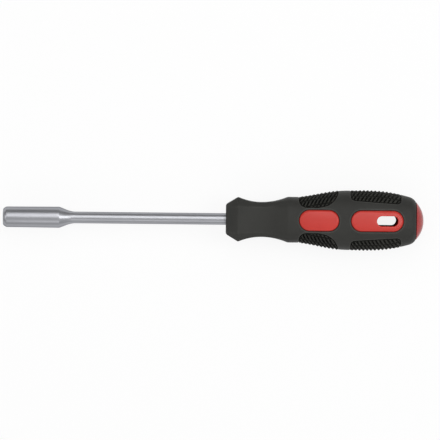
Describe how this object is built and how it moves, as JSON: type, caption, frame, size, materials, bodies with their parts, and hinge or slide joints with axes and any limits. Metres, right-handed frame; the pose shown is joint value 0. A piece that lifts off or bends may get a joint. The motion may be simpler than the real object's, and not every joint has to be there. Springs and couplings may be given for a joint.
{
  "type": "hex nut driver",
  "caption": "Hex nut driver: satin steel shank with a deep hex socket, and a waisted red and dark grey moulded handle with studded soft pads, flat windows and a hang slot.",
  "frame": {"origin": "centre of the hex socket's floor, on the tool's axis", "axes": "+X along the tool from the socket to the butt, +Z out of the front windows, +Y across the handle's wide side"},
  "size_m": [0.236, 0.034, 0.0296],
  "materials": {
    "satin_steel": "satin chrome plate",
    "red_plastic": "moulded, semi-gloss",
    "grey_plastic": "moulded, fine spark-eroded grain",
    "black_rubber": "matt, diamond studs",
    "cap_plastic": "moulded, glossy"
  },
  "bodies": {
    "root": {"shank": "satin_steel", "handle_core": "red_plastic", "grip_shell": "grey_plastic", "upper_front_pad": "black_rubber", "upper_rear_pad": "black_rubber", "lower_front_pad": "black_rubber", "lower_rear_pad": "black_rubber", "end_cap": "cap_plastic"}
  },
  "joints": []
}
